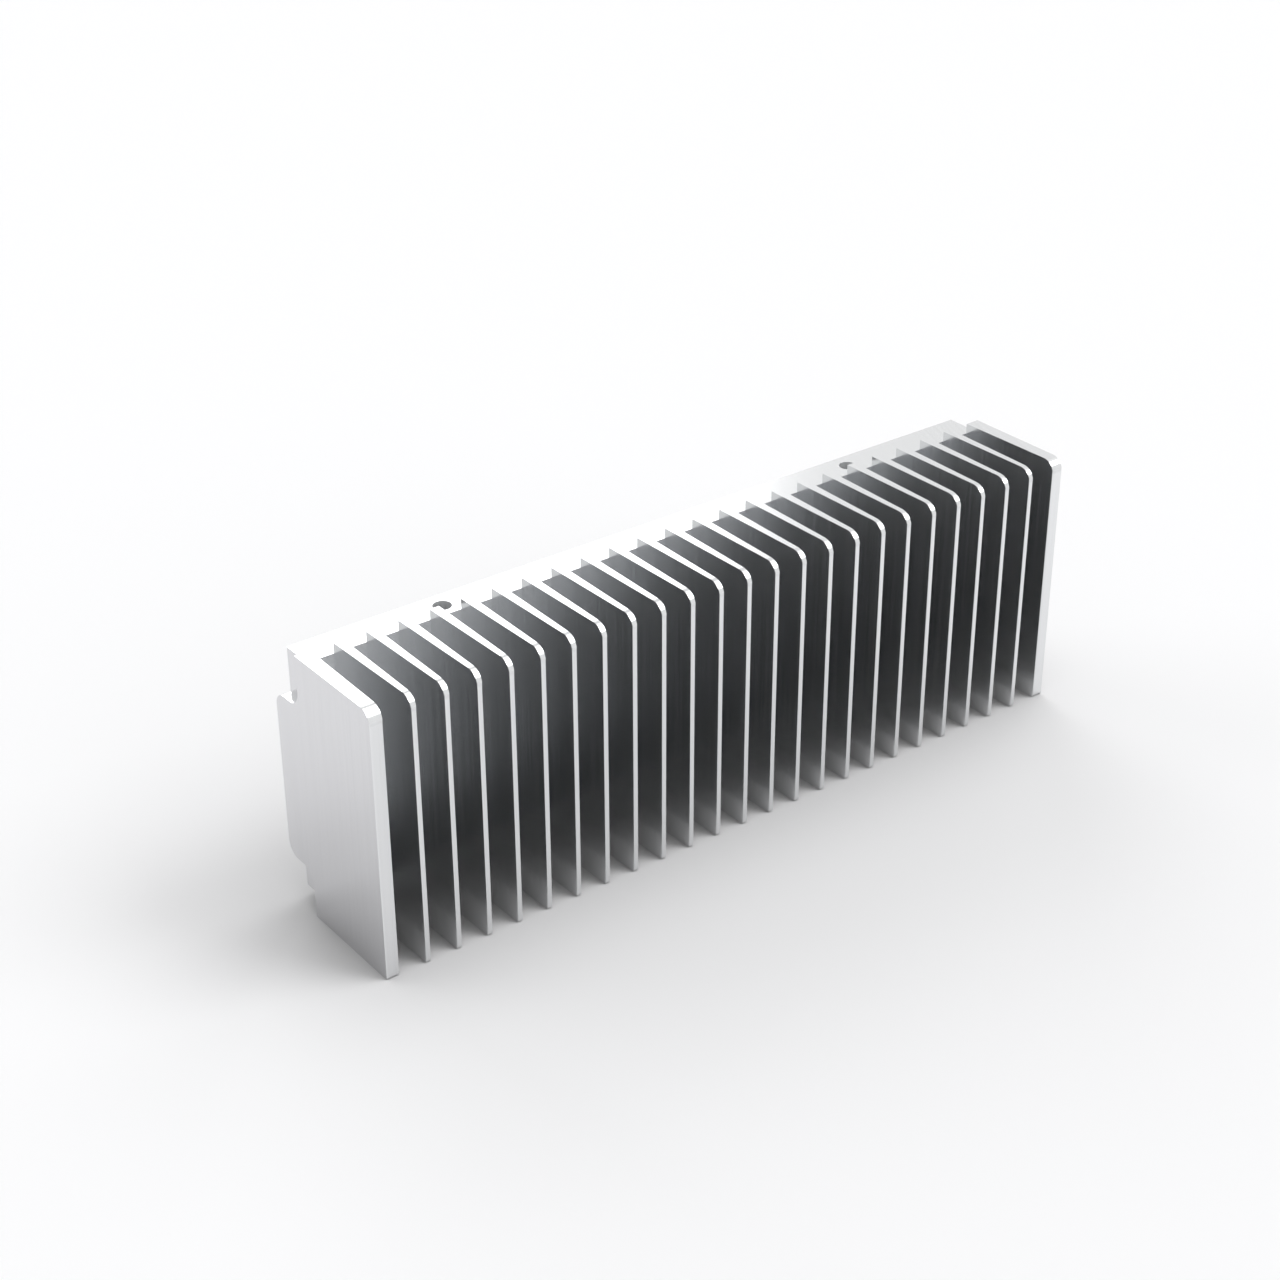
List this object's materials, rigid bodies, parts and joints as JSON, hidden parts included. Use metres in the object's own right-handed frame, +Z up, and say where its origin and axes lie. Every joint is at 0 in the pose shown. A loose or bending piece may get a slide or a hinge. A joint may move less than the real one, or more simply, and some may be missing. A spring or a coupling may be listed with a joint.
{
  "type": "heat sink",
  "caption": "Upright comb of thin tapered cooling fins on a flat base, with thicker end fins, a stepped base edge, two tapped-size holes and a rounded lip at one end.",
  "frame": {"origin": "middle of the footprint, on the surface that the fins' lower ends stand on", "axes": "+X along the row of fins, -Y towards the fin tips and +Y towards the flat rear face, +Z up along the fins"},
  "size_m": [0.1502, 0.0298, 0.0505],
  "materials": {
    "aluminium": "satin, clean extruded and milled aluminium"
  },
  "bodies": {
    "root": {"heat_sink": "aluminium"}
  },
  "joints": []
}
